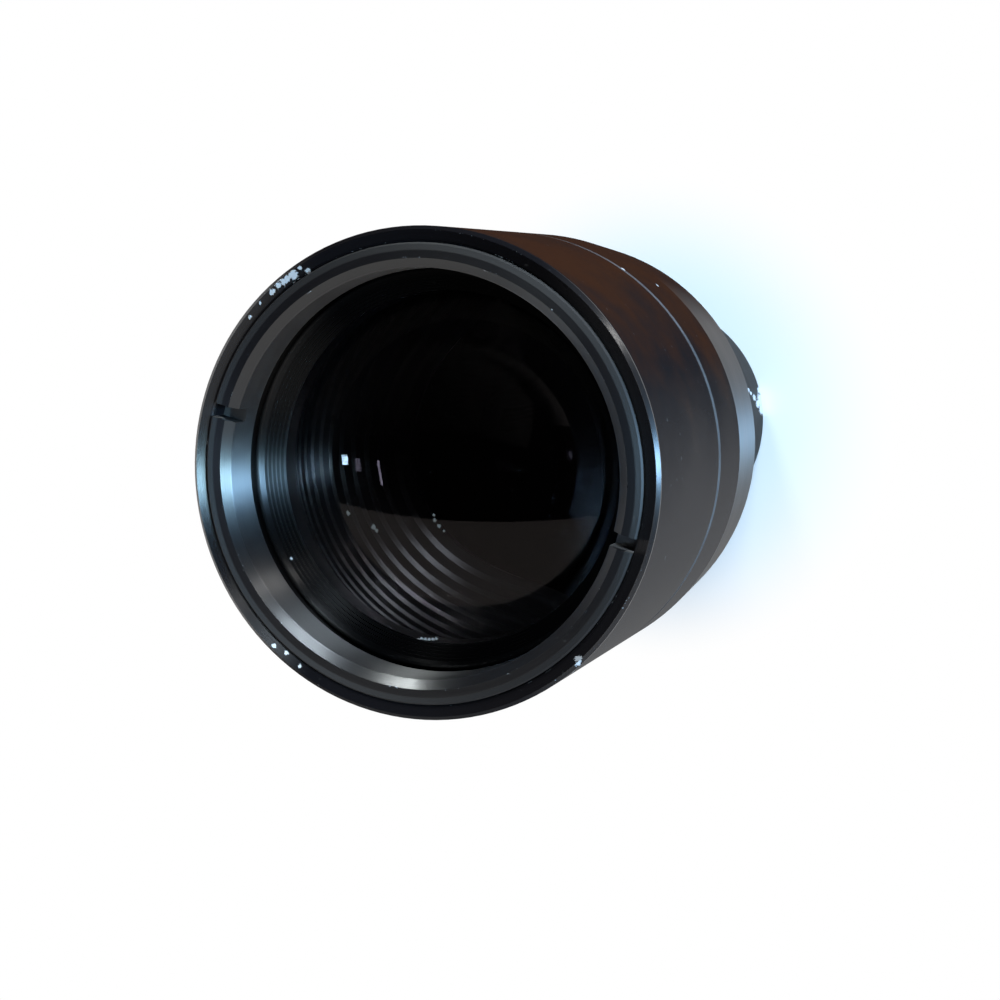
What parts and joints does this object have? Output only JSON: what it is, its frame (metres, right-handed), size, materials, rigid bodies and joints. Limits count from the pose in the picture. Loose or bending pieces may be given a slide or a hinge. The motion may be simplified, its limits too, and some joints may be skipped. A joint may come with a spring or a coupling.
{
  "type": "eyepiece lens",
  "caption": "Black turned eyepiece: a deep mouth with a slotted retaining ring over a large eye lens, a straight barrel that tapers a little, and a narrower nose that slides into an instrument.",
  "frame": {"origin": "middle of the flat end of the nose, on which the eyepiece stands", "axes": "+Z along the optical axis from the nose to the eye lens, +X through the spanner slots of the front retaining ring"},
  "size_m": [0.048, 0.048, 0.0918],
  "materials": {
    "barrel_black": "turned, black anodised, satin",
    "ring_black": "turned, black anodised, semi-gloss",
    "nose_black": "turned, black anodised, chipped at the end",
    "inner_black": "threaded against stray light, matte black",
    "eye_glass": "polished and coated",
    "inner_glass": "polished and coated"
  },
  "bodies": {
    "root": {"front_barrel": "barrel_black", "main_barrel": "barrel_black", "nose_tube": "nose_black", "front_retaining_ring": "ring_black", "eye_lens_cell": "ring_black", "eye_lens": "eye_glass", "eye_lens_lock_ring": "inner_black", "middle_lock_ring": "inner_black", "stepped_baffle": "inner_black", "middle_lens": "inner_glass", "lens_spacer": "inner_black", "doublet_crown": "inner_glass", "doublet_flint": "inner_glass", "field_stop": "inner_black", "nose_spacer": "inner_black", "nose_flint": "inner_glass", "nose_crown": "inner_glass", "nose_lock_ring": "inner_black"}
  },
  "joints": []
}
